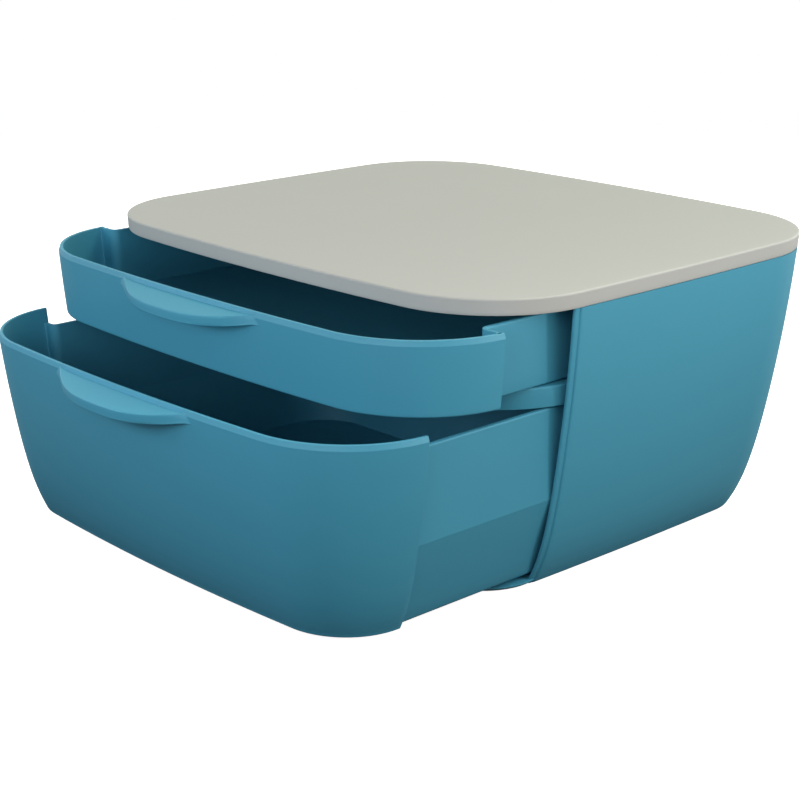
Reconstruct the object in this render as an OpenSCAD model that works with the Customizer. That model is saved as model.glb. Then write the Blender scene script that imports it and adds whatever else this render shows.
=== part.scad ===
// File box with two drawers: a bowl-shaped housing with a flat lid, a shallow upper drawer
// and a deep lower drawer whose curved fronts carry on the housing's outline.
// Millimetres, +Z up. The origin is the centre of the housing's flat underside, and the
// drawers slide along -Y. Both drawers stand partly pulled out.
// Heights are built from "depths", which are measured down from the top face of the lid.

/* [Outline] */
// Overall width, across the lid
body_w = 367; // [340:1:400]
// Overall depth of the closed box, from front to back
body_d = 329; // [310:1:360]
// Corner radius of the outline, seen from above
corner_r = 71; // [60:1:85]
// How far the front and the back bulge in plan, between the corners
front_bow = 3.7; // [1:0.1:8]

/* [Side profile] */
// Straight part of the taper, from the lid down to the foot
side_draft = 10.4; // [4:0.1:14]
// Rounded part of the taper, from the lid down to the foot
side_bulge = 15.4; // [8:0.1:20]
// Extra turn-in close to the foot
foot_turn = 7.2; // [3:0.1:10]
// How late the turn-in starts, as a power of the height
foot_power = 10.6; // [6:0.1:14]

/* [Stack, from the top] */
// Thickness of the lid's edge
lid_h = 9.7; // [8:0.1:14]
// Shadow gap between the lid, the two fronts and the base plate
reveal = 3.5; // [2.5:0.1:5]
// Height of the upper drawer's front
upper_front_h = 42.2; // [36:0.1:60]
// Height of the lower drawer's front
lower_front_h = 115.5; // [100:0.1:140]
// Thickness of the base plate
base_t = 3.2; // [2.5:0.1:5]

/* [Walls] */
// Wall of the housing and of the drawer fronts
wall = 3; // [2.5:0.1:4]
// Wall of the drawers' sides and backs
tray_wall = 2.7; // [2:0.1:3.5]
// Floor of the drawers
floor_t = 2.5; // [2:0.1:3.5]
// Radius of the outer edge of the drawer fronts' rims
rim_r = 2.6; // [1:0.1:2.9]

/* [Lid] */
// Radius of the lid's upper edge
lid_edge_r = 1.2; // [0.6:0.1:5]
// Thickness of the lid's top
lid_skin = 3.4; // [2.5:0.1:5]
// Width of the lid's solid border
lid_border = 6; // [5:0.5:12]
// Thickness of the ribs under the lid
lid_rib = 1.8; // [1.2:0.1:3]
// Spacing of the ribs under the lid
lid_rib_pitch = 58; // [40:1:90]
// Height of the rail under the lid that sits inside the housing
lid_rail_h = 5; // [3:0.5:8]

/* [Housing opening] */
// Length of the drawer fronts at the lid: from the outline's front end to the open housing
front_len = 71.2; // [60:0.1:85]
// Lean of the open front, in degrees: it runs back towards the foot
opening_lean = 1.7; // [0:0.1:3]
// Length of the stepped-back lip along the open front
lip_len = 3.6; // [2:0.1:6]
// How far the lip is stepped in from the housing's outer face
lip_step = 1.1; // [0.6:0.1:1.8]
// Width of the ledge that carries the shelf
ledge_w = 6.5; // [5:0.1:9]
// Thickness of the ledge that carries the shelf
ledge_t = 3; // [2:0.1:4]

/* [Shelf] */
// Height of the shelf's downward flange, with the plate
shelf_h = 11.9; // [8:0.1:14]
// Thickness of the shelf's plate and flange
shelf_t = 2.5; // [2:0.1:4]
// Corner radius of the shelf
shelf_corner_r = 80; // [60:1:85]
// Clearance between the shelf's edge and the closed lower front
shelf_clear = 0.5; // [0.3:0.1:1.5]

/* [Drawers] */
// Space between a drawer's side and the housing's inner face, at the lid
tray_gap = 13.8; // [8:0.1:20]
// Depth below the lid's top at which the lower drawer's sides start to slant inwards
crease_depth = 124; // [110:1:140]
// Draft of the drawer sides down to that crease
tray_draft = 1.3; // [0:0.1:2]
// Clearance between the drawers and the housing's inner wall
tray_clear = 1; // [0.6:0.1:3]
// Height of the upper drawer's underside over the lower edge of its front
upper_lift = 1.4; // [0.5:0.1:3]
// Height of the lower drawer's underside over the lower edge of its front
lower_lift = 0.3; // [0.2:0.1:2]
// How far the lower drawer's sides stay below the rim of its front
lower_notch = 9.4; // [5:0.1:20]
// Gap between the closed fronts' rear ends and the housing's lip
front_gap = 0.5; // [0.3:0.1:1.5]
// Running clearance under both drawers
slide_clear = 0.3; // [0.2:0.05:0.6]

/* [Pulls] */
// Length of a pull tab
tab_w = 119; // [80:1:150]
// How far a pull tab stands out of the front
tab_reach = 18; // [12:0.5:25]
// Height of a pull tab's outer edge
tab_edge_h = 5.5; // [4:0.1:8]
// How far a pull tab's root lies below the rim
tab_drop = 2.3; // [1:0.1:5]
// Slope of a pull tab's top, in degrees
tab_slope = 10; // [0:1:20]

/* [Feet] */
// Diameter of a foot pad
foot_dia = 16; // [10:0.5:24]
// Thickness of a foot pad
foot_t = 2.2; // [1.5:0.1:4]
// Depth of the foot pad's recess in the base
foot_recess = 1; // [0.5:0.1:1.4]
// Distance of a foot pad's centre in from the outline's side
foot_in_x = 71.5; // [55:0.5:100]
// Distance of a foot pad's centre in from the outline's front or back
foot_in_y = 72.5; // [55:0.5:100]

/* [Pose and stops] */
// How far the upper drawer stands pulled out
upper_pull = 54.5; // [0:0.5:180]
// How far the lower drawer stands pulled out
lower_pull = 106; // [0:0.5:180]
// How far a drawer travels from closed to its stop
travel = 195; // [170:1:200]
// Width of a drawer's stop lug
lug_w = 24; // [12:1:40]
// Length of a drawer's stop lug
lug_l = 5; // [3:0.5:10]
// Distance of a stop lug from its drawer's rear end
lug_back = 11; // [8:0.5:20]
// Distance of the lower drawer's runner rails in from its side
rail_in = 61.7; // [40:0.1:90]
// Distance of the upper drawer's runner rails in from its side
shelf_rail_in = 16; // [12:0.5:40]
// Width of a runner rail
rail_w = 8; // [5:0.5:12]
// Height of the upper drawer's runner rails
runner_h = 0.7; // [0.4:0.1:1.5]
// Setback of the ledge, the rails and the lid's rail behind the open front
setback = 12; // [8:0.5:20]

/* [Hidden] */
$fn = 96;

plastic_blue = [0.10, 0.42, 0.53];
lid_grey = [0.72, 0.72, 0.69];
rubber_dark = [0.10, 0.11, 0.12];

// Depths of the stack's faces below the lid's top.
upper_rim_d = lid_h + reveal;
upper_foot_d = upper_rim_d + upper_front_h;
lower_rim_d = upper_foot_d + reveal;
lower_foot_d = lower_rim_d + lower_front_h;
base_d = lower_foot_d + reveal;
body_h = base_d + base_t;

upper_floor_d = upper_foot_d - upper_lift;
lower_floor_d = lower_foot_d - lower_lift;
lower_side_d = lower_rim_d + lower_notch;
shelf_d = upper_floor_d + slide_clear + runner_h;
flange_d = shelf_d + shelf_h;
rail_h = base_d - lower_floor_d - slide_clear;

// Places that follow the outline.
opening_y = snap(body_d / 2 - front_len);
tray_w = body_w - 2 * (wall + tray_gap);
rail_x = tray_w / 2 - rail_in;
shelf_rail_x = tray_w / 2 - shelf_rail_in;
foot_x = body_w / 2 - foot_in_x;
foot_y = body_d / 2 - foot_in_y;

overlap = 0.6;
far = 1000;
curve_pitch = 14;
arc_steps = 4;
knit = 0.25;

function snap(v) = round(v * 1000) / 1000;

// Inward offset of the outer face at a depth below the lid's top.
function inset_at(depth) =
    let(u = depth / body_h)
    snap(side_draft * u + side_bulge * u * u + foot_turn * pow(u, foot_power));

// Depths from first to last, closer together towards the last.
function depths(first, last) =
    let(steps = max(2, round(abs(last - first) / curve_pitch)))
    [for (i = [0:steps]) snap(first + (last - first) * pow(i / steps, 0.75))];

function reversed(list) = [for (i = [len(list) - 1:-1:0]) list[i]];

// Outer face, drawn in by "more", as [inset, height] points from a lower to an upper depth.
function face_points(low_d, high_d, more) =
    [for (d = reversed(depths(high_d, low_d))) [inset_at(d) + more, body_h - d]];

// Plan of a rounded rectangle with a bowed front and back. The bow runs into the corners at
// a very flat angle: it starts "knit" inside them.
// [half width, half depth, corner radius, front radius, corner centre, front half angle]
function bowed(half_w, half_d, radius) =
    let(
        chord = half_w - radius,
        front_r = (chord * chord + front_bow * front_bow) / (2 * front_bow),
        span = front_r - radius + knit,
        reach = sqrt(span * span - chord * chord)
    )
    [half_w, half_d, radius, front_r, [chord, snap(half_d - front_r + reach)], atan2(chord, reach)];

body_plan = bowed(body_w / 2, body_d / 2, corner_r);

// Rounded end of a filled body: two corners and the bow between them, at the front.
// The corners turn on by "extra" degrees past the sides.
module rounded_end(plan, points, extra = 0) {
    front_r = plan[3];
    low = points[0][1];
    high = points[len(points) - 1][1];
    core = front_r - plan[2] - 12;
    root = 6;
    for (flip = [0, 1])
        mirror([flip, 0, 0])
            translate([plan[4][0], -plan[4][1], 0])
                rotate_extrude(angle = 100 + extra, start = -100)
                    polygon(concat([[0, low]],
                        [for (p = points) [snap(plan[2] - p[0]), snap(p[1])]], [[0, high]]));
    translate([0, front_r - plan[1], 0])
        rotate_extrude(angle = 2 * plan[5], start = -90 - plan[5], $fn = 240)
            polygon(concat([[core, low]],
                [for (p = points) [front_r - p[0], snap(p[1])]], [[core, high]]));
    translate([-plan[4][0] - root, -plan[4][1] - root, low])
        cube([2 * (plan[4][0] + root), 2 * root, high - low]);
}

// Straight middle of a filled body, from "first" to "last" along the drawers' way.
module straight_middle(plan, points, first, last) {
    right = [for (p = points) [snap(plan[0] - p[0]), snap(p[1])]];
    translate([0, last, 0])
        rotate([90, 0, 0])
            linear_extrude(last - first)
                polygon(concat(right, [for (p = reversed(right)) [-p[0], p[1]]]));
}

// Filled body whose outline is drawn in by the [inset, height] points, from low to high.
module full_body(plan, points) {
    rounded_end(plan, points);
    mirror([0, 1, 0])
        rounded_end(plan, points);
    straight_middle(plan, points, -plan[4][1], plan[4][1]);
}

// The same body with its front end left off: it starts flat at "first".
module rear_body(plan, points, first) {
    mirror([0, 1, 0])
        rounded_end(plan, points);
    straight_middle(plan, points, first, plan[4][1]);
}

// The same body with its rear part left off, for the drawer fronts.
module front_body(plan, points) {
    low = points[0][1];
    high = points[len(points) - 1][1];
    rounded_end(plan, points, 12);
    translate([-plan[4][0], -plan[4][1] - 6, low])
        cube([2 * plan[4][0], 40, high - low]);
}

// Places children in the frame of the leaning open front: y = 0 is the lip's face.
module at_opening() {
    translate([0, -opening_y, body_h])
        rotate([-opening_lean, 0, 0])
            children();
}

// Everything in front of the leaning plane that lies "back" behind the lip's face.
module front_of(back) {
    at_opening()
        translate([-far / 2, back - far, -far / 2])
            cube(far);
}

module behind(back) {
    at_opening()
        translate([-far / 2, back, -far / 2])
            cube(far);
}

// ---------------------------------------------------------------- housing

// The wall, with its outer face stepped in along the open front.
module housing_wall() {
    first = -opening_y - 2 * lip_len;
    top = body_h - lid_h;
    difference() {
        rear_body(body_plan, face_points(body_h, lid_h, 0), first);
        rear_body(body_plan, concat(face_points(base_d, lid_h, wall),
            [[inset_at(lid_h) + wall, top + 2]]), first - 5);
        front_of(0);
        difference() {
            translate([-far / 2, first - 2, -1])
                cube([far, 5 * lip_len, body_h + 2]);
            straight_middle(body_plan, concat(
                [[inset_at(body_h) + lip_step, -2]],
                face_points(body_h, lid_h, lip_step),
                [[inset_at(lid_h) + lip_step, body_h + 3]]
            ), first - 5, first + 10 * lip_len);
            behind(lip_len);
        }
    }
}

// Base plate; its border shows below the drawer fronts.
module base_plate() {
    edge = 0.6;
    full_body(body_plan, [
        [inset_at(body_h), 0],
        [inset_at(base_d + base_t / 2), base_t / 2],
        [inset_at(base_d + edge), base_t - edge],
        [inset_at(base_d) + edge, base_t]
    ]);
}

// Ledge round the sides and the back that carries the shelf's flange.
module shelf_ledge() {
    top = flange_d;
    out = inset_at(top) + wall - overlap;
    inside = inset_at(top) + wall + ledge_w;
    low = body_h - top - ledge_t;
    high = body_h - top;
    first = -opening_y + setback;
    difference() {
        rear_body(body_plan, [[out, low], [out, high]], first);
        rear_body(body_plan, [[out + 0.4, low - 1], [out + 0.8, low], [inside, high - 1],
            [inside, high + 1]], first - 5);
    }
}

// The two rails and the stop bar on the base plate that serve the lower drawer.
module lower_runners() {
    front = -opening_y + setback;
    back = lower_back - lower_slant;
    for (side = [-1, 1])
        translate([side * rail_x - rail_w / 2, front, base_t - overlap])
            cube([rail_w, back - front, rail_h + overlap]);
    translate([-lug_w, lower_stop_y, base_t - overlap])
        cube([2 * lug_w, lug_l, rail_h - 0.8 + overlap]);
}

module foot_places() {
    for (x = [-foot_x, foot_x])
        for (y = [-foot_y, foot_y])
            translate([x, y, 0])
                children();
}

module housing() {
    color(plastic_blue)
    difference() {
        union() {
            housing_wall();
            base_plate();
            shelf_ledge();
            lower_runners();
        }
        foot_places()
            translate([0, 0, -1])
                cylinder(d = foot_dia + 0.4, h = foot_recess + 1);
    }
}

// -------------------------------------------------------------------- lid

module lid() {
    top = body_h;
    under = body_h - lid_h;
    skirt = inset_at(lid_h) + lid_border;
    side = inset_at(lid_edge_r);
    edge = [for (i = [0:arc_steps])
        let(a = 90 * i / arc_steps)
        [side + lid_edge_r * (1 - cos(a)), top - lid_edge_r * (1 - sin(a))]];
    color(lid_grey) {
        difference() {
            full_body(body_plan, concat(
                [[inset_at(lid_h) + 0.5, under], [inset_at(lid_h), under + 0.5]], edge));
            full_body(body_plan, [[skirt, under - 1], [skirt, top - lid_skin]]);
        }
        intersection() {
            full_body(body_plan, [[skirt - 1, under + 1], [skirt - 1, top - lid_skin + overlap]]);
            lid_ribs(under + 1, lid_h - lid_skin);
        }
        lid_rail(under);
    }
}

// Rail that sits inside the housing's wall.
module lid_rail(under) {
    out = inset_at(lid_h + lid_rail_h) + wall + 0.3;
    inside = out + lid_rib;
    first = -opening_y + setback;
    difference() {
        rear_body(body_plan, [[out, under - lid_rail_h], [out, under + overlap]], first);
        rear_body(body_plan, [[inside, under - lid_rail_h - 1], [inside, under + 2]], first - 5);
    }
}

// Stiffening ribs both ways under the lid, centred.
module lid_ribs(low, high) {
    across = floor((body_w / 2 - 2 * lid_border) / lid_rib_pitch);
    along = floor((body_d / 2 - 2 * lid_border) / lid_rib_pitch);
    for (i = [-across:across])
        translate([i * lid_rib_pitch - lid_rib / 2, -body_d / 2, low])
            cube([lid_rib, body_d, high]);
    for (i = [-along:along])
        translate([-body_w / 2, i * lid_rib_pitch - lid_rib / 2, low])
            cube([body_w, lid_rib, high]);
}

// ------------------------------------------------------------------ shelf

// The shelf's edge clears the inner face of the lower front where that reaches over it.
shelf_inset = inset_at(flange_d) + wall + shelf_clear;
shelf_plan = bowed(body_w / 2 - shelf_inset, body_d / 2 - shelf_inset, shelf_corner_r);

module mid_shelf() {
    top = body_h - shelf_d;
    low = body_h - flange_d;
    color(plastic_blue)
    difference() {
        union() {
            difference() {
                full_body(shelf_plan, [[0, low], [0, top - 0.8], [0.8, top]]);
                full_body(shelf_plan, [[shelf_t, low - 1], [shelf_t, top - shelf_t]]);
            }
            for (side = [-1, 1])
                translate([side * shelf_rail_x - rail_w / 2, -opening_y + setback, top - overlap])
                    cube([rail_w, opening_y + corner_centre[1] - setback, runner_h + overlap]);
        }
        translate([-lug_w / 2 - 2, upper_stop_y - 1, low])
            cube([lug_w + 4, travel + lug_l + 4, shelf_h + 1]);
    }
}

// ---------------------------------------------------------------- drawers

// The trays' rear corners share their centres with the housing's corners.
corner_centre = body_plan[4];
tray_corner_r = tray_w / 2 - corner_centre[0];
tray_back = corner_centre[1] + tray_corner_r;
upper_back = tray_back;
lower_back = tray_back;
// The lower tray slants inwards below its crease, as far as the housing needs it.
crease_in = tray_draft;
lower_slant = tray_w / 2 - (body_w / 2 - inset_at(lower_floor_d) - wall - tray_clear);

// The stops: a lug under each drawer's rear end meets its stop when the travel is used up.
upper_lug_y = upper_back - lug_back;
lower_lug_y = lower_back - lower_slant - lug_back;
upper_stop_y = upper_lug_y - travel;
lower_stop_y = lower_lug_y - travel - lug_l - 1;

// Curved front: the housing's own outline, ended at the opening, with its strip of the floor.
module front_shell(rim_d, foot_d, floor_d) {
    bead = 1.2;
    side = inset_at(rim_d + rim_r);
    rim = [for (i = [0:arc_steps])
        let(a = 90 * i / arc_steps)
        [side + rim_r * (1 - cos(a)), body_h - rim_d - rim_r * (1 - sin(a))]];
    face = [for (d = reversed(depths(rim_d, foot_d)))
        if (d > rim_d + rim_r + 2 && d < foot_d - bead - 2) [inset_at(d), body_h - d]];
    foot = [
        [inset_at(foot_d) + bead, body_h - foot_d],
        [inset_at(foot_d - bead), body_h - foot_d + bead]
    ];
    difference() {
        front_body(body_plan, concat(foot, face, rim));
        front_body(body_plan, concat(face_points(floor_d - floor_t, rim_d, wall),
            [[inset_at(rim_d) + wall, body_h - rim_d + 2]]));
        front_body(body_plan, [
            [inset_at(foot_d) + wall, body_h - foot_d - 2],
            [inset_at(foot_d) + wall, body_h - floor_d]
        ]);
        behind(-front_gap);
    }
}

// One half of the tray's wall section: [distance in from the tray's outer face, height].
function tray_section(side_d, floor_d, slant) =
    let(
        deep = floor_d > crease_depth,
        mid_d = deep ? crease_depth : floor_d - 2,
        mid_in = deep ? crease_in : 0.4,
        low_in = deep ? slant : mid_in,
        lean = deep ? 0.8 : 0,
        low = body_h - floor_d,
        t = tray_wall,
        outer = [[0, body_h - side_d], [mid_in, body_h - mid_d]],
        inner = [[mid_in + t, body_h - mid_d], [t, body_h - side_d]]
    )
    concat(
        outer,
        deep ? [[low_in - lean, low + 2]] : [],
        [
            [low_in + 1.4, low],
            [low_in + t + 4, low],
            [low_in + t + 4, low + floor_t],
            [low_in + t + 1.5, low + floor_t],
            [low_in + t - 2 * lean, low + floor_t + 2]
        ],
        deep ? inner : [inner[1]]
    );

// Three-sided tray wall with rounded rear corners, and its floor.
module tray(section, inset, floor_d) {
    x = tray_w / 2;
    corner = corner_centre;
    front = -opening_y - 20;
    for (flip = [0, 1])
        mirror([flip, 0, 0]) {
            translate([0, corner[1], 0])
                rotate([90, 0, 0])
                    linear_extrude(corner[1] - front)
                        polygon([for (p = section) [x - p[0], p[1]]]);
            translate([corner[0], corner[1], 0])
                rotate_extrude(angle = 90)
                    polygon([for (p = section) [tray_corner_r - p[0], p[1]]]);
        }
    translate([-corner[0], tray_back, 0])
        rotate([90, 0, 90])
            linear_extrude(2 * corner[0])
                polygon([for (p = section) [-p[0], p[1]]]);
    r = tray_corner_r - inset;
    quarter = [for (i = [0:6]) corner + r * [cos(i * 15), sin(i * 15)]];
    rear = concat(quarter, [for (p = reversed(quarter)) [-p[0], p[1]]]);
    translate([0, 0, body_h - floor_d])
        linear_extrude(floor_t)
            polygon(concat([[x - inset, front]], rear, [[inset - x, front]]));
}

// Wall that steps out from the tray's side to the inside of the front.
module bend(side_d, floor_d, slant) {
    deep = floor_d > crease_depth;
    x = tray_w / 2 - tray_wall;
    outer = [for (d = depths(side_d, floor_d))
        [body_w / 2 - inset_at(d) - wall / 2, body_h - d]];
    inner = concat(
        [[x - (deep ? slant : 0.4), body_h - floor_d]],
        deep ? [[x - crease_in, body_h - crease_depth]] : [],
        [[x, body_h - side_d]]
    );
    difference() {
        for (flip = [0, 1])
            mirror([flip, 0, 0])
                translate([0, 15 - opening_y, 0])
                    rotate([90, 0, 0])
                        linear_extrude(35)
                            polygon(concat(outer, inner));
        front_of(-front_gap - wall);
        behind(-front_gap);
    }
}

// How far the bowed front has fallen back at a distance from its middle.
function bow_at(x) = let(r = body_plan[3]) r - sqrt(r * r - x * x);

// Pull tab: a lens that slopes down from just under the rim and runs out into the front.
module pull_tab(rim_d) {
    face_y = -(body_d / 2 - inset_at(rim_d + tab_drop));
    half = tab_w / 2;
    root = 0.9 * wall;
    steps = 14;
    plan = concat(
        [for (i = [-steps:steps]) let(u = i / steps)
            [half * u, snap(bow_at(half * u) - tab_reach * (1 - pow(abs(u), 2.8)))]],
        [[half, root], [-half, root]]
    );
    edge_top = body_h - rim_d - tab_drop - tab_reach * tan(tab_slope);
    low = edge_top - tab_edge_h;
    section = [
        [root, body_h - rim_d - tab_drop + root * tan(tab_slope)],
        [-tab_reach + 1, edge_top],
        [-tab_reach, edge_top - 1],
        [-tab_reach, low + 1],
        [-tab_reach + 1, low],
        [root, low - 1.5]
    ];
    intersection() {
        translate([0, face_y, low - 5])
            linear_extrude(body_h - rim_d - low + 10)
                polygon(plan);
        translate([-half - 1, face_y, 0])
            rotate([90, 0, 90])
                linear_extrude(tab_w + 2)
                    polygon(section);
    }
}

module drawer(rim_d, foot_d, side_d, floor_d, slant) {
    front_shell(rim_d, foot_d, floor_d);
    difference() {
        tray(tray_section(side_d, floor_d, slant), slant + tray_wall + 2.5, floor_d);
        front_of(-front_gap - wall / 2);
    }
    bend(side_d, floor_d, slant);
    pull_tab(rim_d);
}

module upper_drawer() {
    color(plastic_blue)
    translate([0, -upper_pull, 0]) {
        drawer(upper_rim_d, upper_foot_d, upper_rim_d, upper_floor_d, 0.4);
        translate([-lug_w / 2, upper_lug_y, body_h - upper_floor_d - runner_h - slide_clear - 4])
            cube([lug_w, lug_l, runner_h + slide_clear + 4 + overlap]);
    }
}

module lower_drawer() {
    color(plastic_blue)
    translate([0, -lower_pull, 0]) {
        drawer(lower_rim_d, lower_foot_d, lower_side_d, lower_floor_d, lower_slant);
        translate([-lug_w / 2, lower_lug_y, body_h - lower_floor_d - rail_h + 0.5])
            cube([lug_w, lug_l, rail_h - 0.5 + overlap]);
    }
}

// ------------------------------------------------------------------- feet

module foot(x, y) {
    color(rubber_dark)
    translate([x, y, foot_recess - foot_t])
        cylinder(d = foot_dia, h = foot_t);
}

housing();
lid();
mid_shelf();
upper_drawer();
lower_drawer();
foot(-foot_x, -foot_y);  // foot_front_left
foot(foot_x, -foot_y);  // foot_front_right
foot(-foot_x, foot_y);  // foot_rear_left
foot(foot_x, foot_y);  // foot_rear_right
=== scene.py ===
"""File box with two drawers: smooth visual pieces on the CAD frame, lights and camera.

All shapes are made in millimetres and stored in metres. A "depth" is measured down from the
lid's top face, which is H above the housing's flat underside.
"""
import math

import bpy
import numpy as np
from mathutils import Euler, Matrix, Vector


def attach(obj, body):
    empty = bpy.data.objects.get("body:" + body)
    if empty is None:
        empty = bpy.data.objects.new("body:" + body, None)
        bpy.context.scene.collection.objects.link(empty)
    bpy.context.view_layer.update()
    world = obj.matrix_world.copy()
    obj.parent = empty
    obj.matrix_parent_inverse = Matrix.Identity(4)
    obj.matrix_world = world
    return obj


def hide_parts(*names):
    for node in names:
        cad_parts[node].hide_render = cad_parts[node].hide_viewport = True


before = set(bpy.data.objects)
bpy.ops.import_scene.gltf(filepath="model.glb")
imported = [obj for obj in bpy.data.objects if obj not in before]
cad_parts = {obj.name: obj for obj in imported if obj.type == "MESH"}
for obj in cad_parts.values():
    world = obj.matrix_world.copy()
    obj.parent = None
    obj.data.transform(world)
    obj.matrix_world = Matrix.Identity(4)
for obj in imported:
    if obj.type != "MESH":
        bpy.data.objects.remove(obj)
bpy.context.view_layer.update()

# ------------------------------------------------------------------ sizes, in millimetres
# Outline at the lid, seen from above, and how far its sides and its front bulge
HALF_W, HALF_D, CORNER_R = 183.5, 164.5, 71.0
SIDE_BOW, FRONT_BOW = 1.0, 3.7
# Taper down to the foot: straight draft, bulge, and a turn-in that comes late, as a power
DRAFT, BULGE, FOOT_TURN, FOOT_POWER = 10.4, 15.4, 7.2, 10.6
# Heights from the top down: lid, upper front, lower front and base plate, with a gap between each
LID_H, UP_FRONT_H, LO_FRONT_H, BASE_T, REVEAL = 9.7, 42.2, 115.5, 3.2, 3.5
UP_RIM = LID_H + REVEAL
UP_FOOT = UP_RIM + UP_FRONT_H
LO_RIM = UP_FOOT + REVEAL
LO_FOOT = LO_RIM + LO_FRONT_H
BASE_TOP = LO_FOOT + REVEAL
H = BASE_TOP + BASE_T
# Depths of the drawers' undersides, and of the lower tray's side rim and crease
UP_FLOOR, LO_FLOOR = 54.0, 174.1
LO_SIDE, CREASE = 68.3, 124.0
SHELF_TOP, SHELF_LOW = 55.0, 66.9
WALL, TRAY_WALL, FLOOR_T = 3.0, 2.8, 2.5
# The housing's leaning front face: its Y at the lid's top, and how far it runs back per depth
SEAM_Y, SEAM_LEAN = -93.3, 0.0297
# Gap between the rear edge of a closed front and the housing
GAP = 0.5
# How far the drawers stand pulled out at rest
UP_PULL, LO_PULL = 54.5, 106.0
# Height of the sloping band along a front's rim, and how far it leans in per millimetre
BAND_H, BAND_LEAN = 3.0, 0.29
# The rim as [in from the band's foot, below the rim]: flat top, small round, slope
BAND = np.array([(1.15, 0.0), (0.96, 0.06), (0.84, 0.2), (0.78, 0.45), (0.5, 1.4), (0.25, 2.25),
                 (0.03, 2.92)])
# Rounded end of a front as [forward of the end, how much the section shrinks]
FRONT_END = [(0.0, 0.3), (0.1, 0.12), (0.3, 0.0)]
# Tray sides: half width at the rim, then how far the lower tray's sides come in down to the crease
# and from there to its floor. The upper tray's come in by UP_TRAY_IN over a depth of UP_TRAY_H.
TRAY_X, CREASE_IN, SLANT_IN = 166.9, 2.4, 14.7
UP_TRAY_IN, UP_TRAY_H = 0.4, 40.0
# Pull tab: half length of its top and lower edge, reach, and depth of its root below the rim
TAB_TOP_HALF, TAB_LOW_HALF, TAB_REACH, TAB_DROP = 60.5, 66.0, 18.0, 2.6
# Rise of its ends, fall of its top per millimetre, height of its front edge, root inside the wall
TAB_LIFT, TAB_SLOPE, TAB_EDGE, TAB_ROOT = 1.0, 0.178, 5.8, 1.7
# The housing's lip as [behind the front face, in from the outer face], round a step inwards
LIP_STEP = 1.1
LIP = np.array([(5.0, 0.0), (4.5, 0.06), (4.05, 0.28), (3.75, 0.62), (3.65, LIP_STEP - 0.12),
                (3.5, LIP_STEP), (2.2, LIP_STEP), (1.3, LIP_STEP + 0.05), (0.7, LIP_STEP + 0.22),
                (0.28, LIP_STEP + 0.5), (0.05, LIP_STEP + 0.95), (0.0, LIP_STEP + 1.3)])
# The lid's hidden rail lies this far in, and its ribs have this pitch, half thickness and depths
LID_RAIL_IN = 7.0
RIB_PITCH, RIB_HALF, RIB_TOP, RIB_LOW = 58, 0.9, 4.0, 8.6
# Rails of the base plate: X, half width, Y of both ends and height
RAIL_X, RAIL_HALF, RAIL_FRONT, RAIL_REAR, RAIL_H = 105, 4, -83, 118, 3.4
# The stop at the front of the base plate: half length, Y of both faces and height
STOP_HALF, STOP_FRONT, STOP_REAR, STOP_H = 24, -84, -79, 2.6
# The floor lies at the underside of the foot pads
FLOOR_Z = -1.2


def inset(depth):
    """How far the outer face lies inside the lid's outline at a depth.

    With u as the depth over H: DRAFT * u + BULGE * u ** 2 + FOOT_TURN * u ** FOOT_POWER.
    """
    u = np.asarray(depth, float) / H
    return DRAFT * u + BULGE * u ** 2 + FOOT_TURN * u ** FOOT_POWER


def seam(depth):
    """Y of the housing's leaning front face at a depth: a straight line."""
    return SEAM_Y + SEAM_LEAN * np.asarray(depth, float)


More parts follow.
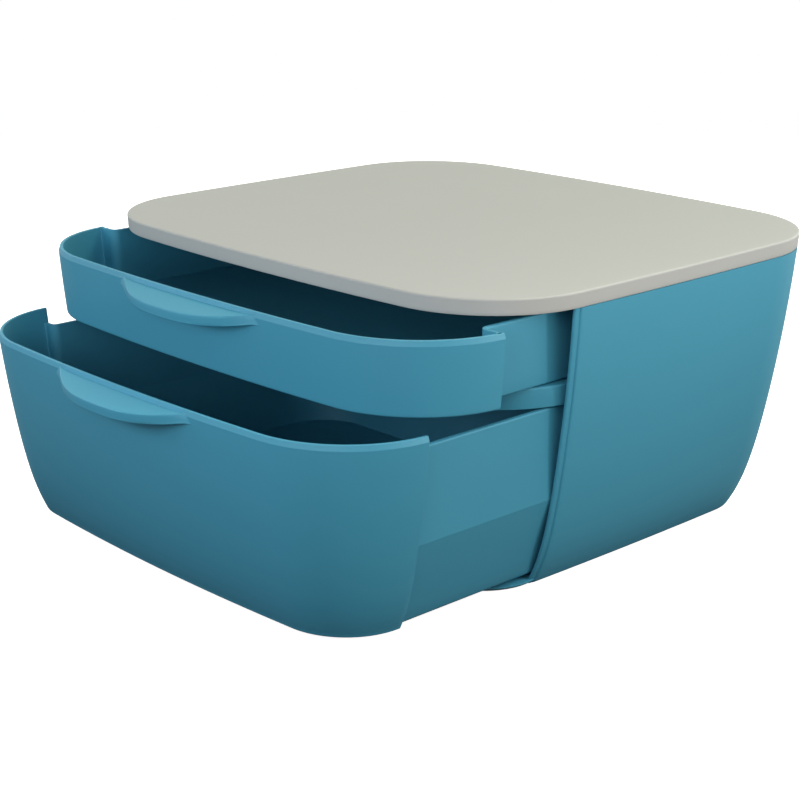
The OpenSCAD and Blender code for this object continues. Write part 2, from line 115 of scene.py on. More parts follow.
class Plan:
    """Rounded rectangle with bowed sides: arcs that meet without a kink.

    A point is found from the direction t that its outline faces: 0 is the front centre, 90 degrees
    the right side and 180 the rear centre. Negative t gives the left half.
    """

    def __init__(self, half_w, half_d, radius, side_bow, front_bow):
        """Each bow's radius is (half chord ** 2 + bow ** 2) / (2 * bow).

        The corner's centre is where two circles about the bows' centres cross. Their radii are the
        bows' radii less the corner's, so that the arcs touch.
        """
        self.w, self.d, self.r = half_w, half_d, radius
        half_front, half_side = half_w - radius, half_d - radius - front_bow
        self.rs = (half_side * half_side + side_bow ** 2) / (2 * side_bow)
        self.rf = (half_front * half_front + front_bow ** 2) / (2 * front_bow)
        a, b = half_w - self.rs, half_d - self.rf
        ra, rb = self.rs - radius, self.rf - radius
        span = math.hypot(a, b)
        k = (ra * ra - rb * rb + span * span) / (2 * span)
        h = math.sqrt(ra * ra - k * k)
        ux, uy = -a / span, b / span
        ends = [(a + k * ux - s * h * uy, k * uy + s * h * ux) for s in (1, -1)]
        self.c = max(ends, key=lambda e: e[0] + e[1])
        self.t_side = math.pi / 2 - math.atan2(self.c[1], self.c[0] - a)
        self.t_front = math.atan2(self.c[0], self.c[1] - b)

    def at(self, t, p):
        """x, y on the outline drawn in by p, facing direction t: centre + (radius - p) * facing."""
        t, p = np.broadcast_arrays(np.asarray(t, float), np.asarray(p, float))
        side = np.where(t < 0, -1.0, 1.0)
        t = np.abs(t)
        rear = t > math.pi / 2
        q = np.where(rear, math.pi - t, t)
        s, c = np.sin(q), np.cos(q)
        front, flank = q <= self.t_front, q >= self.t_side
        x = np.where(front, (self.rf - p) * s, np.where(
            flank, self.w - self.rs + (self.rs - p) * s, self.c[0] + (self.r - p) * s))
        y = np.where(front, self.d - self.rf + (self.rf - p) * c, np.where(
            flank, (self.rs - p) * c, self.c[1] + (self.r - p) * c))
        return side * x, np.where(rear, y, -y)

    def direction(self, y, p):
        """Direction in which the right half faces at a given y of the outline drawn in by p."""
        y, p = np.broadcast_arrays(np.asarray(y, float), np.asarray(p, float))
        far = np.abs(y)
        corner = np.arccos(np.clip((far - self.c[1]) / (self.r - p), -1, 1))
        flank = np.arccos(np.clip(far / (self.rs - p), -1, 1))
        q = np.where(corner < self.t_side, corner, np.maximum(flank, self.t_side))
        return np.where(y > 0, math.pi - q, q)

    def ring(self, n_front=7, n_corner=22, n_side=5):
        """Directions all the way round, close together in the corners."""
        quarter = np.concatenate([
            np.linspace(0, self.t_front, n_front)[:-1],
            np.linspace(self.t_front, self.t_side, n_corner)[:-1],
            np.linspace(self.t_side, math.pi / 2, n_side)])
        half = np.concatenate([quarter, math.pi - quarter[::-1][1:]])
        return np.concatenate([half, -half[::-1][1:-1]])


BODY = Plan(HALF_W, HALF_D, CORNER_R, SIDE_BOW, FRONT_BOW)


# ------------------------------------------------------------------ mesh helpers
def point(x, y, depth):
    """Points [x, y, H - depth], from numbers or arrays."""
    x, y, depth = np.broadcast_arrays(x, y, depth)
    return np.stack([x, y, H - depth], -1)


def pairs(first, second):
    """Rows of [first, second], where either may be one number for all rows."""
    return np.stack(np.broadcast_arrays(np.atleast_1d(first), second), -1)


def arc(cx, cy, r, start, end, n):
    """n points on a circle from start to end, in degrees: centre + r * [cosine, sine]."""
    a = np.radians(np.linspace(start, end, n))
    return pairs(cx + r * np.cos(a), cy + r * np.sin(a))


def mirrored(half, closed):
    """A right half followed by its mirror image. The ends of a closed one lie on the middle."""
    left = half[::-1][1:-1 if closed else None] * [-1, 1]
    return np.concatenate([half, left])


class Soup:
    """Collects vertex grids and faces, and makes one mesh object of them."""

    def __init__(self):
        self.verts, self.faces, self.count = [], [], 0

    def grid(self, pts, wrap_rows=False, wrap_cols=False, flip=False):
        """Quads over rows x columns of points. Rows or columns may close on themselves."""
        rows, cols = pts.shape[:2]
        index = self.count + np.arange(rows * cols).reshape(rows, cols)
        self.verts.append(pts.reshape(-1, 3))
        self.count += rows * cols
        if wrap_rows:
            index = np.vstack([index, index[:1]])
        if wrap_cols:
            index = np.hstack([index, index[:, :1]])
        a, b, c, d = index[:-1, :-1], index[:-1, 1:], index[1:, 1:], index[1:, :-1]
        quads = np.stack([a, b, c, d], -1).reshape(-1, 4)
        self.faces += (quads[:, ::-1] if flip else quads).tolist()
        return index

    def cap(self, ring, flip=False):
        """One flat face over a ring of vertices."""
        ring = [int(i) for i in ring]
        self.faces.append(ring[::-1] if flip else ring)

    def build(self, name, body, stands_for, material, sharp=32):
        """The mesh as a smooth piece, with edges kept sharp from an angle in degrees."""
        mesh = bpy.data.meshes.new(name)
        mesh.from_pydata((np.concatenate(self.verts) / 1000).tolist(), [], self.faces)
        mesh.validate()
        obj = bpy.data.objects.new(name, mesh)
        bpy.context.scene.collection.objects.link(obj)
        mesh.shade_smooth()
        mesh.set_sharp_from_angle(angle=math.radians(sharp))
        mesh.materials.append(material)
        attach(obj, body)
        if stands_for:
            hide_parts(*stands_for)


def box(soup, low, high):
    """A plain box between two corners."""
    (x0, y0, z0), (x1, y1, z1) = low, high
    grid = np.array([[(x0, y0, z), (x1, y0, z), (x1, y1, z), (x0, y1, z)] for z in (z0, z1)])
    index = soup.grid(grid, wrap_cols=True)
    soup.cap(index[0, :-1], flip=True)
    soup.cap(index[1, :-1])


def ring_rows(soup, plan, rows):
    """A body from [inset, depth] rows, each carried all the way round a plan, with flat ends."""
    grid = point(*plan.at(plan.ring(), rows[:, :1]), rows[:, 1:])
    index = soup.grid(grid, wrap_cols=True)
    soup.cap(index[0, :-1], flip=True)
    soup.cap(index[-1, :-1])


# ------------------------------------------------------------------ drawer fronts
def shrink(profile, by):
    """Closed profile moved inwards along its corners' bisectors, by / cosine of the half turn."""
    least_cosine = 0.35
    nxt, prv = np.roll(profile, -1, 0), np.roll(profile, 1, 0)
    e1 = (profile - prv) / np.linalg.norm(profile - prv, axis=1, keepdims=True)
    e2 = (nxt - profile) / np.linalg.norm(nxt - profile, axis=1, keepdims=True)
    n1, n2 = pairs(-e1[:, 1], e1[:, 0]), pairs(-e2[:, 1], e2[:, 0])
    m = n1 + n2
    m /= np.maximum(np.linalg.norm(m, axis=1, keepdims=True), 1e-6)
    turn = np.maximum((m * n1).sum(1, keepdims=True), least_cosine)
    area = (profile[:, 0] * nxt[:, 1] - nxt[:, 0] * profile[:, 1]).sum()
    return profile + m * by / turn * (1 if area > 0 else -1)


def front_profile(rim, foot):
    """Closed section of a drawer front as [inset, depth]: the rim, the bowed face, the foot.

    The rim has a narrow flat top, and below it a band that slopes out to a crisp border with the
    face, which follows inset(depth). The foot's outer edge is a quarter circle. The inside is the
    same face, WALL further in.
    """
    foot_r, foot_bevel, rim_bevel = 1.1, 0.4, 0.25
    outer_pitch, inner_pitch, least = 6, 8, 4
    shoulder = rim + BAND_H
    border = inset(shoulder)
    low = foot - foot_r
    outside = np.linspace(shoulder + 3, low - 2, max(least, int((foot - rim) / outer_pitch)))
    outside = np.concatenate([[shoulder + 0.4], outside])
    inside = np.linspace(foot - 4, rim + 3, max(least, int((foot - rim) / inner_pitch)))
    return np.vstack([
        BAND + [border, rim],
        pairs(border, shoulder + 0.05),
        pairs(inset(outside), outside),
        arc(inset(low) + foot_r, low, foot_r, 180, 90, 5),
        pairs(inset(foot) + WALL - foot_bevel, foot),
        pairs(inset(foot) + WALL, foot - foot_bevel),
        pairs(inset(inside) + WALL, inside),
        pairs(inset(rim) + WALL, rim + rim_bevel),
        pairs(inset(rim) + WALL - rim_bevel, rim)])


def front_shell(soup, rim, foot, pull):
    """The curved front, from the left end to the right end, both slightly rounded.

    Its section is carried round the outline. The directions run in even steps from the end, where
    each point faces its own way, to the start of the front's bow, and on to the middle.
    """
    corner_steps, bow_steps = 40, 10
    profile = front_profile(rim, foot)
    sections, facing = [], []
    for forward, less in FRONT_END:
        section = shrink(profile, less)
        sections.append(section)
        facing.append(BODY.direction(seam(profile[:, 1]) - GAP - forward, section[:, 0]))
    share = np.linspace(1, 0, corner_steps)[1:, None]
    bow = np.linspace(BODY.t_front, 0, bow_steps)[1:, None]
    facing = np.vstack([facing, BODY.t_front + (facing[-1] - BODY.t_front) * share,
                        np.repeat(bow, len(profile), 1)])
    sections = np.array(sections + [sections[-1]] * (len(facing) - len(sections)))
    facing = np.concatenate([facing, -facing[-2::-1]])
    sections = np.concatenate([sections, sections[-2::-1]])
    grid = point(*BODY.at(facing, sections[..., 0]), sections[..., 1]).swapaxes(0, 1)
    grid[..., 1] -= pull
    index = soup.grid(grid, wrap_rows=True, flip=True)
    soup.cap(index[:-1, 0], flip=True)
    soup.cap(index[:-1, -1])


# ------------------------------------------------------------------ trays
def tray_x(depth, low_floor):
    """Half width of the tray's outer face at a depth: straight lines, with a bend at the crease."""
    d = np.asarray(depth, float)
    if not low_floor:
        return TRAY_X - UP_TRAY_IN * (d - UP_RIM) / UP_TRAY_H
    down = TRAY_X - CREASE_IN * (d - LO_SIDE) / (CREASE - LO_SIDE)
    slant = TRAY_X - CREASE_IN - SLANT_IN * (d - CREASE) / (LO_FLOOR - CREASE)
    return np.where(d < CREASE, down, slant)


def tray_half(depth, low_floor):
    """Matched inner and outer points of the right half, from inside the front to the rear centre.

    Both step out to the front in two arcs, run straight along the side, and turn round the rear
    corner in a quarter circle about the outline's own corner.
    """
    y_back = float(seam(depth)) - GAP
    y_front = y_back - WALL
    p = float(inset(depth)) + WALL
    x_front = float(BODY.at(BODY.direction(y_front, p), p)[0])
    x_out = float(tray_x(depth, low_floor))
    x_in = x_out - TRAY_WALL
    step = max(x_front - x_in, 0.6)
    r_front, r_side, r_out = min(1.2, step * 0.3), min(5.5, step * 0.7), 1.2
    buried = x_front + 1.4
    cx, cy = BODY.c
    inner = np.vstack([
        pairs(buried, y_front - r_front),
        arc(x_front - r_front, y_front - r_front, r_front, 0, 90, 6),
        arc(x_in + r_side, y_front + r_side, r_side, 270, 180, 9),
        pairs(x_in, np.linspace(y_front + r_side, cy, 8)[1:-1]),
        arc(cx, cy, x_in - cx, 0, 90, 18),
        pairs(np.linspace(cx, 0, 6)[1:], cy + x_in - cx)])
    outer = np.vstack([
        pairs(buried, y_back),
        pairs(np.linspace(buried - 0.2, x_out + r_out + 0.2, 6), y_back),
        arc(x_out + r_out, y_back + r_out, r_out, 270, 180, 9),
        pairs(x_out, np.linspace(y_back + r_out, cy, 8)[1:-1]),
        arc(cx, cy, x_out - cx, 0, 90, 18),
        pairs(np.linspace(cx, 0, 6)[1:], cy + x_out - cx)])
    return inner, outer


def tray(soup, rim, floor, low_floor, pull):
    """Side and rear walls with the step out to the front, and the floor.

    The rows are [share, depth]: each lies a share of the way from the outer to the inner points.
    They run up the outside, over the rounded rim, down the inside and under the rounded foot.
    """
    near_crease = CREASE + np.array([-3, -0.35, 0, 0.35, 3])
    rim_round, rim_share = 1.1, 0.38
    depths = np.linspace(rim + 1.2, floor - 2.2, 14 if low_floor else 6)
    if low_floor:
        depths = np.unique(np.concatenate([depths, near_crease]))
    turn = np.radians(np.linspace(0, 90, 6))
    rows = np.vstack([
        pairs(0.0, depths[::-1]),
        pairs(rim_share * (1 - np.cos(turn)), rim + rim_round * (1 - np.sin(turn))),
        [(0.93, rim), (1.0, rim + 0.2)],
        pairs(1.0, depths),
        [(1.0, floor - 0.1), (0.6, floor), (0.35, floor), (0.12, floor - 0.6)]])
    grid = []
    for share, d in rows:
        inner, outer = tray_half(d, low_floor)
        loop = mirrored(outer + (inner - outer) * share, closed=False)
        grid.append(point(loop[:, 0], loop[:, 1] - pull, d))
    index = soup.grid(np.array(grid), wrap_rows=True)
    soup.cap(index[:-1, 0])
    soup.cap(index[:-1, -1], flip=True)
    floor_plate(soup, floor, low_floor, pull)


def floor_plate(soup, floor, low_floor, pull):
    """Floor between the middles of the walls: one outline at two depths."""
    inner, outer = tray_half(floor - 1, low_floor)
    back = ((inner + outer) / 2)[2:]
    p = float(inset(floor - 1)) + WALL * 0.6
    t_end = float(BODY.direction(seam(floor) - GAP - 1.5, p))
    front = np.stack(BODY.at(np.linspace(0, t_end, 40), p), 1)
    loop = mirrored(np.concatenate([front, back]), closed=True)
    depths = np.array([[floor - 0.05], [floor - FLOOR_T]])
    index = soup.grid(point(loop[:, 0], loop[:, 1] - pull, depths), wrap_cols=True)
    soup.cap(index[0, :-1], flip=True)
    soup.cap(index[1, :-1])


# ------------------------------------------------------------------ pull tabs
def tab_reach(x, v):
    """How far the tab stands out from the face at x: v is 0 at its top edge and 1 at the lower one.

    TAB_REACH * (1 - (|x| / wide) ** 2.8) ** power, where wide and power grow with v, so that the
    ends melt into the face along the lower edge.
    """
    wide = TAB_TOP_HALF + (TAB_LOW_HALF - TAB_TOP_HALF) * v
    power = 1.25 + 0.5 * v
    return TAB_REACH * np.maximum(0.0, 1 - np.minimum(abs(x) / wide, 1.0) ** 2.8) ** power


def tab_section(x, rim):
    """Closed section of the tab at x, as [out from the face, depth].

    The top falls by TAB_SLOPE per millimetre outwards, and two arcs round the front edge. The top
    rises towards the ends by TAB_LIFT * (1 - reach / full reach) ** 3.
    """
    upper, lower = tab_reach(x, 0.0) - 0.2, tab_reach(x, 1.0) - 0.05
    top = rim + TAB_DROP - TAB_LIFT * (1 - upper / TAB_REACH) ** 3
    r, r_low = min(0.9, 0.3 * (upper + 1.3)), min(0.6, 0.3 * (lower + 0.9))
    low = top + TAB_SLOPE * upper + TAB_EDGE
    crown = top + TAB_SLOPE * (upper - r)
    above = np.linspace(-TAB_ROOT, upper - r, 8)[:-1]
    edge = np.array([0.35, 0.6, 0.82])
    below = np.linspace(lower - r_low, -TAB_ROOT, 6)[1:]
    return np.vstack([
        pairs(above, top + TAB_SLOPE * above),
        arc(upper - r, crown + r, r, -80, -8, 6),
        pairs(np.maximum(tab_reach(x, edge) - 0.1, upper), crown + r + (low - crown - r) * edge),
        arc(lower - r_low, low - r_low, r_low, 0, 90, 5),
        pairs(below, low - 0.03 * (lower - below))])


def pull_tab(soup, rim, pull):
    """Lens-shaped tab: its top slopes down from under the rim, its front edge is nearly upright.

    The sections stand on the front's face: y = centre of the bow - root of (radius ** 2 - x ** 2),
    less the reach. Both ends rise, so that the top runs out on the rim's band.
    """
    x = TAB_LOW_HALF * np.sin(np.linspace(-1, 1, 81) * math.pi / 2)
    sections = np.array([tab_section(one, rim) for one in x])
    out, d = sections[..., 0], sections[..., 1]
    x = x[:, None]
    shoulder = rim + BAND_H
    radius = BODY.rf - inset(np.maximum(d, shoulder)) - BAND_LEAN * np.maximum(shoulder - d, 0)
    y = BODY.rf - BODY.d - np.sqrt(radius * radius - x * x) - out - pull
    index = soup.grid(point(x, y, d).swapaxes(0, 1), wrap_rows=True)
    soup.cap(index[:-1, 0])
    soup.cap(index[:-1, -1], flip=True)


def drawer(name, rim, foot, floor, side_rim, low_floor, pull, material):
    """Front, tray and pull tab of one drawer, which is also the name of its node and body."""
    soup = Soup()
    front_shell(soup, rim, foot, pull)
    soup.build(name + "_front", name, (name,), material)
    soup = Soup()
    tray(soup, side_rim, floor, low_floor, pull)
    soup.build(name + "_tray", name, (), material)
    soup = Soup()
    pull_tab(soup, rim, pull)
    soup.build(name + "_tab", name, (), material, sharp=50)


# ------------------------------------------------------------------ lid, shelf, housing, base
def lid_piece(material):
    """The lid: a rail below, a flat underside, the outer face inset(depth) and a rounded edge.

    The top falls towards its edge by drop * (1 - distance / 14) ** 2.
    """
    soup = Soup()
    r, drop, fall = 1.1, 0.2, 14
    face = float(inset(LID_H))
    side = float(inset(r)) + r
    depths = np.linspace(LID_H - 2, r + 0.6, 4)
    inward = np.array([2, 4.5, 7.5, 11])
    ring_rows(soup, BODY, np.vstack([
        [(LID_RAIL_IN, LID_H - 5.6), (LID_RAIL_IN, LID_H - 0.3), (LID_RAIL_IN - 0.3, LID_H)],
        [(face + 0.9, LID_H), (face + 0.25, LID_H - 0.25), (face, LID_H - 0.9)],
        pairs(inset(depths), depths),
        arc(side, r + drop, r, 180, 268, 8),
        pairs(side + inward, drop * (1 - inward / fall) ** 2),
        pairs(side + 15, 0.0)]))
    soup.build("lid_top", "cabinet", ("lid",), material)


def lid_ribs(material):
    """Lattice of straight ribs in the lid's underside."""
    soup = Soup()
    half_x, half_y = 176, 157
    places = RIB_PITCH * np.arange(-2, 3)
    for x in places:
        box(soup, (x - RIB_HALF, -half_y, H - RIB_LOW), (x + RIB_HALF, half_y, H - RIB_TOP))
    for y in places:
        box(soup, (-half_x, y - RIB_HALF, H - RIB_LOW), (half_x, y + RIB_HALF, H - RIB_TOP))
    soup.build("lid_ribs", "cabinet", (), material)


def shelf_piece(material):
    """The shelf: an upright border with a small arc on its upper edge, closed above and below."""
    soup = Soup()
    out = float(inset(SHELF_LOW)) + WALL + 0.5
    corner_r, top_r = 80.0, 1.0
    plan = Plan(HALF_W - out, HALF_D - out, corner_r, SIDE_BOW, FRONT_BOW)
    ring_rows(soup, plan, np.vstack([
        [(2.5, SHELF_TOP + 2.6), (2.5, SHELF_LOW - 0.3), (2.2, SHELF_LOW), (0.5, SHELF_LOW)],
        [(0.12, SHELF_LOW - 0.12), (0.0, SHELF_LOW - 0.5), (0.0, SHELF_TOP + 1.2)],
        arc(top_r, SHELF_TOP + top_r, top_r, 190, 270, 6),
        pairs(6.0, SHELF_TOP)]))
    soup.build("shelf_plate", "cabinet", ("mid_shelf",), material)


def on_side(y, p):
    """Points of the right side at given y, on the outline drawn in by p."""
    return np.stack(BODY.at(BODY.direction(y, p), p), 1)


def housing_piece(material):
    """Wall round the rear and the sides, with the stepped lip along the open front.

    At each depth a loop follows the outer face, inset(depth), from the rear centre to the front,
    goes round the lip and returns along the inner face, WALL further in.
    """
    soup = Soup()
    rear = math.pi - np.concatenate([
        np.linspace(0, BODY.t_front, 8)[:-1],
        np.linspace(BODY.t_front, BODY.t_side, 30)[:-1],
        np.linspace(BODY.t_side, math.pi / 2, 7)])
    depths = np.concatenate([
        [LID_H + 0.02, LID_H + 0.3], np.linspace(LID_H + 2, 120, 18), np.linspace(126, 176, 16),
        [H - 3.1, H - 1.7, H - 0.7, H - 0.2, H]])
    foot_round = np.zeros(len(depths))
    foot_round[-3:] = 0.1, 0.4, 1.0
    flank_y = -8
    rows = []
    for d, rounded in zip(depths, foot_round):
        face = float(inset(d))
        y = float(seam(d))
        p = face + rounded
        q = min(face, float(inset(BASE_TOP))) + WALL
        half = np.concatenate([
            np.stack(BODY.at(rear, p), 1),
            on_side(np.linspace(flank_y, y + 9, 8), p),
            on_side(y + LIP[:, 0], p + LIP[:, 1]),
            on_side(y + np.array([0, 0.3]), face + np.array([WALL - 0.3, WALL])),
            on_side(np.linspace(y + 2, flank_y, 8), q),
            np.stack(BODY.at(rear[::-1], q), 1)])
        loop = mirrored(half, closed=True)
        rows.append(point(loop[:, 0], loop[:, 1], d))
    index = soup.grid(np.array(rows), wrap_cols=True, flip=True)
    # The top and the foot are closed by quads from the outer to the inner points of each half.
    i = np.arange(len(half) // 2)
    j = len(half) - 1 - i
    quads = np.stack([i, i + 1, j - 1, j], 1)[i + 1 < j - 1]
    for ring, flip in ((index[0, :-1], False), (index[-1, :-1], True)):
        for quad in quads:
            soup.cap(ring[quad], flip=flip)
            soup.cap(ring[-quad % len(ring)], flip=not flip)
    soup.build("housing_shell", "cabinet", ("housing",), material)


def base_piece(material):
    """Base plate: its border carries on the bowl's outline below the open front.

    The rows are [further in than inset(depth), depth]. Where the housing's wall stands round it,
    the border is drawn in further, so that it stays hidden. Two rails and a stop stand on it.
    """
    soup = Soup()
    rows = np.array([(1.0, BASE_TOP), (0.3, BASE_TOP + 0.1), (0.0, BASE_TOP + 0.5), (0.05, H - 2.1),
                     (0.6, H - 1.2), (1.3, H - 0.4), (2.2, H - 0.02)])
    hidden_in, hidden_behind = 1.3, 3.0
    t = BODY.ring(9, 30, 9)
    d = rows[:, 1:]
    p = inset(d) + rows[:, :1]
    x, y = BODY.at(t, p)
    hidden = y > seam(d) + hidden_behind
    x2, y2 = BODY.at(t, p + hidden_in)
    grid = point(np.where(hidden, x2, x), np.where(hidden, y2, y), d)
    index = soup.grid(grid, wrap_cols=True, flip=True)
    soup.cap(index[0, :-1])
    soup.cap(index[-1, :-1], flip=True)
    sunk = BASE_T - 1
    for x in (-RAIL_X, RAIL_X):
        box(soup, (x - RAIL_HALF, RAIL_FRONT, sunk), (x + RAIL_HALF, RAIL_REAR, BASE_T + RAIL_H))
    box(soup, (-STOP_HALF, STOP_FRONT, sunk), (STOP_HALF, STOP_REAR, BASE_T + STOP_H))
    soup.build("base_plate", "cabinet", (), material)


# ------------------------------------------------------------------ materials
class Node:
    """A node output that can be used in arithmetic."""

    def __init__(self, tree, socket):
        self.tree, self.socket = tree, socket

    def math(self, operation, other, flip=False):
        """This value and another, which may be a number, in a Math node. Flip swaps the two."""
        node = self.tree.nodes.new("ShaderNodeMath")
        node.operation = operation
        mine, its = (1, 0) if flip else (0, 1)
        self.tree.links.new(self.socket, node.inputs[mine])
        if isinstance(other, Node):
            self.tree.links.new(other.socket, node.inputs[its])
        else:
            node.inputs[its].default_value = other
        return Node(self.tree, node.outputs[0])

    def __add__(self, other):
        return self.math("ADD", other)

    __radd__ = __add__

    def __mul__(self, other):
        return self.math("MULTIPLY", other)

    __rmul__ = __mul__

    def __sub__(self, other):
        return self.math("SUBTRACT", other)

    def __rsub__(self, other):
        return self.math("SUBTRACT", other, flip=True)


class Tree:
    """A node tree, with one method that makes each node but the Math nodes."""

    def __init__(self, tree):
        self.tree = tree

    def put(self, node, sockets):
        """Each socket gets a link where it is given a Node, and a value otherwise."""
        for key, value in sockets.items():
            if isinstance(value, Node):
                self.tree.links.new(value.socket, node.inputs[key])
            else:
                node.inputs[key].default_value = value

    def node(self, kind, settings=None, sockets=None, output=0):
        """The chosen output of a new node, if it has any. Its settings come before its sockets."""
        made = self.tree.nodes.new(kind)
        for key, value in (settings or {}).items():
            setattr(made, key, value)
        self.put(made, sockets or {})
        return Node(self.tree, made.outputs[output]) if made.outputs else None

    def blend(self, low, high, amount):
        """Colour low where the amount is 0 and colour high where it is 1."""
        sockets = {0: amount, 6: (*low, 1), 7: (*high, 1)}
        return self.node("ShaderNodeMix", {"data_type": "RGBA"}, sockets, output=2)

    def rays(self, *kinds):
        """1 for rays of the named kinds and 0 for all others."""
        value = self.node("ShaderNodeLightPath", output=f"Is {kinds[0]} Ray")
        for kind in kinds[1:]:
            value = value.math("MAXIMUM", self.node("ShaderNodeLightPath", output=f"Is {kind} Ray"))
        return value


class Shader(Tree):
    """A Principled material. Patterns lie on Object coordinates."""

    def __init__(self, name):
        self.material = bpy.data.materials.new(name)
        self.material.use_nodes = True
        super().__init__(self.material.node_tree)
        self.shader = next(n for n in self.tree.nodes if n.type == "BSDF_PRINCIPLED")
        self.coords = self.node("ShaderNodeTexCoord", output="Object")

    def noise(self, scale, detail=2.0, roughness=0.5):
        """Noise from 0 to 1 with about scale waves to the metre, and detail finer octaves."""
        return self.node("ShaderNodeTexNoise", sockets={
            "Vector": self.coords, "Scale": scale, "Detail": detail, "Roughness": roughness})

    def bump(self, height, strength, distance):
        """Normal tilted by the slope of height * distance, in metres, to the given strength."""
        return self.node("ShaderNodeBump", sockets={
            "Height": height, "Strength": strength, "Distance": distance})

    def set(self, **sockets):
        """The shader's own sockets, with _ for each blank in their names."""
        self.put(self.shader, {key.replace("_", " "): value for key, value in sockets.items()})


def moulded_plastic(name, low, high, roughness, grain):
    """Fine matt moulded plastic: a slight drift of colour, and a grain that dulls the gloss.

    Roughness is the given one + 0.08 * (grain noise - 0.5) + 0.05 * (broad noise - 0.5).
    """
    s = Shader(name)
    drift = s.noise(9.0, 3.0)
    fine = s.noise(1700.0, 2.0, 0.6)
    s.set(Base_Color=s.blend(low, high, drift),
          Roughness=(fine - 0.5) * 0.08 + (s.noise(26.0, 3.0) - 0.5) * 0.05 + roughness,
          Normal=s.bump(fine, grain, 0.0002), IOR=1.43)
    return s.material


def rubber(name):
    """Dull dark rubber with a fine grain: roughness is 0.75 + 0.1 * noise."""
    s = Shader(name)
    fine = s.noise(900.0, 3.0, 0.6)
    s.set(Base_Color=s.blend((0.020, 0.021, 0.022), (0.032, 0.033, 0.034), s.noise(60.0)),
          Roughness=fine * 0.1 + 0.75, Normal=s.bump(fine, 0.3, 0.0002))
    return s.material


def pale_floor(name):
    """White to the camera and through glass, grey in gloss, and nearly black to all other rays."""
    s = Shader(name)
    seen = s.rays("Camera", "Transmission")
    shine = s.rays("Glossy") * 0.35
    s.set(Base_Color=s.blend((0.02, 0.02, 0.02), (0.82, 0.82, 0.82), seen.math("MAXIMUM", shine)),
          Emission_Color=s.blend((0, 0, 0), (0.94, 0.94, 0.94), seen),
          Emission_Strength=1.0, Roughness=0.9, Specular_IOR_Level=0.0)
    return s.material


blue = moulded_plastic("petrol_plastic", (0.053, 0.291, 0.434), (0.056, 0.302, 0.449), 0.54, 0.06)
grey = moulded_plastic("lid_plastic", (0.447, 0.453, 0.450), (0.460, 0.467, 0.463), 0.55, 0.08)
dark = rubber("foot_rubber")

# ------------------------------------------------------------------ pieces
lid_piece(grey)
lid_ribs(grey)
housing_piece(blue)
base_piece(blue)
shelf_piece(blue)
drawer("upper_drawer", UP_RIM, UP_FOOT, UP_FLOOR, UP_RIM, False, UP_PULL, blue)
drawer("lower_drawer", LO_RIM, LO_FOOT, LO_FLOOR, LO_SIDE, True, LO_PULL, blue)

for foot_name in [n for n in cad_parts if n.startswith("foot")]:
    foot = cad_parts[foot_name]
    foot.data.materials.clear()
    foot.data.materials.append(dark)
    foot.data.shade_smooth()
    foot.data.set_sharp_from_angle(angle=math.radians(40))


# ------------------------------------------------------------------ floor, lights, camera
def disc(name, radius, z, n=96):
    """A flat round mesh in metres, at a height in millimetres."""
    mesh = bpy.data.meshes.new(name)
    a = np.linspace(0, 2 * math.pi, n, endpoint=False)
    ring = np.stack([radius * np.cos(a), radius * np.sin(a), np.full(n, z / 1000)], 1)
    mesh.from_pydata(ring.tolist(), [], [list(range(n))])
    return mesh


def area_light(name, place, aim, size, strength, color):
    """A lamp at a place, in metres. A strength of 1 lights a face at the aim, turned to the lamp,
    so that its colour renders as written: the power is strength * pi ** 2 * distance ** 2.
    """
    way = Vector(place) - Vector(aim)
    data = bpy.data.lights.new(name, "AREA")
    data.shape = "RECTANGLE"
    data.size, data.size_y = size
    data.energy = strength * math.pi ** 2 * way.length_squared
    data.color = color
    obj = bpy.data.objects.new(name, data)
    bpy.context.scene.collection.objects.link(obj)
    obj.location = place
    obj.rotation_euler = way.to_track_quat("Z", "Y").to_euler()


floor = bpy.data.objects.new("floor", disc("floor", 1.6, FLOOR_Z))
bpy.context.scene.collection.objects.link(floor)
floor.data.materials.append(pale_floor("pale_floor"))

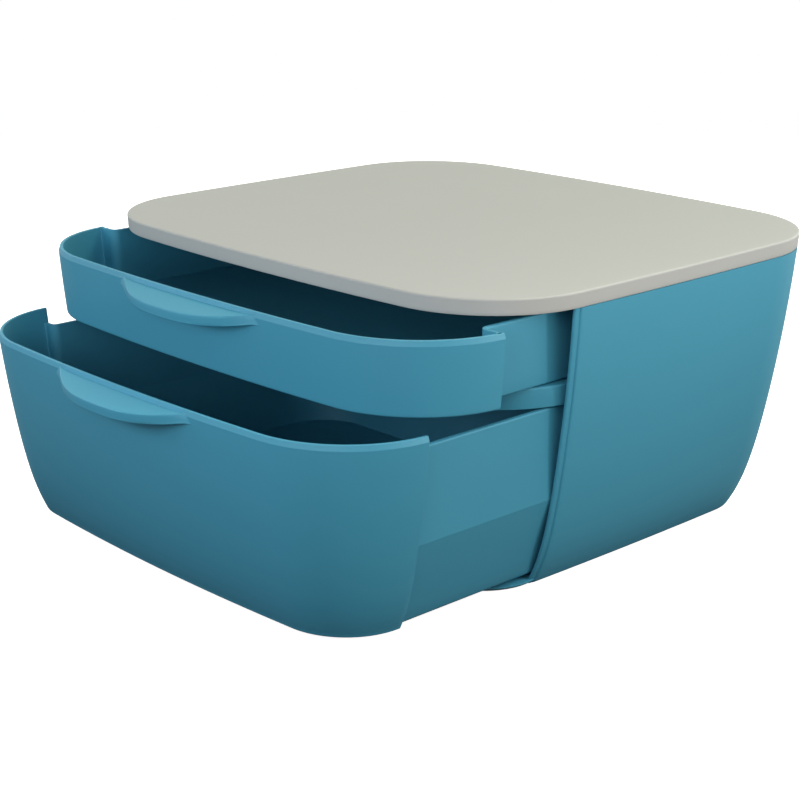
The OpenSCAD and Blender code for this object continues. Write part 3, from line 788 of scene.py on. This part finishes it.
# Each lamp: its name, place, aim, size, strength and colour
area_light("key_right", (2.778, 1.416, 0.81), (0, 0, 0.09), (0.3, 0.3), 0.21, (1.05, 1.0, 0.95))
area_light("strip_right", (0.45, 0.05, 0.25), (0.18, 0, 0.12), (0.5, 0.08), 0.67, (1.05, 1.06, 0.96))
area_light("strip_front", (-0.1, -0.56, 0.26), (-0.05, -0.25, 0.12), (0.8, 0.08), 0.78,
           (0.90, 0.99, 1.03))
area_light("corner_high", (0.5, -0.35, 0.5), (0.15, -0.1, 0.1), (0.3, 0.3), 0.20, (1.05, 1.0, 0.90))
area_light("front_right", (0.35, -0.66, 0.34), (0.05, -0.25, 0.12), (0.3, 0.3), 0.30,
           (1.04, 1.0, 0.97))
area_light("left_high", (-0.7, -0.3, 0.4), (-0.15, -0.15, 0.12), (0.4, 0.4), 0.22, (0.98, 1.0, 0.90))
area_light("back_high", (0, 1.4, 2.515), (0, 0, 0.09), (1.4, 1.2), 0.58, (1.04, 1.08, 0.84))
area_light("rear_low", (0.4, 1.9, 0.4), (0, 0.1, 0.1), (1.0, 0.8), 0.24, (1.0, 1.0, 0.98))

# The world is white to the camera, through glass and in gloss, and a dim fill to all other rays.
world = bpy.data.worlds.new("studio")
bpy.context.scene.world = world
world.use_nodes = True
world.node_tree.nodes.clear()
studio = Tree(world.node_tree)
seen = studio.rays("Camera", "Transmission", "Glossy")
tint = studio.blend((0.15, 0.145, 0.16), (1, 1, 1), seen)
sky = studio.node("ShaderNodeBackground", sockets={"Color": tint, "Strength": 1.0})
studio.node("ShaderNodeOutputWorld", sockets={"Surface": sky})

scene = bpy.context.scene
scene.view_settings.view_transform = "Standard"
scene.view_settings.look = "None"
# Camera: place in metres, with its height over the lid in millimetres, then its turn in radians
CAMERA_X, CAMERA_Y, CAMERA_OVER_LID = 0.7733, -0.7965, 225.4
CAMERA_DOWN, CAMERA_TURN = 0.3015, 0.8353
camera_data = bpy.data.cameras.new("camera")
camera_data.sensor_width = 36
camera_data.lens = 79.17
camera_data.shift_x = 0.0705
camera_data.shift_y = -0.0064
camera_data.clip_start = 0.05
camera = bpy.data.objects.new("camera", camera_data)
scene.collection.objects.link(camera)
camera.location = (CAMERA_X, CAMERA_Y, (H + CAMERA_OVER_LID) / 1000)
camera.rotation_euler = Euler((math.pi / 2 - CAMERA_DOWN, 0, CAMERA_TURN))
scene.camera = camera
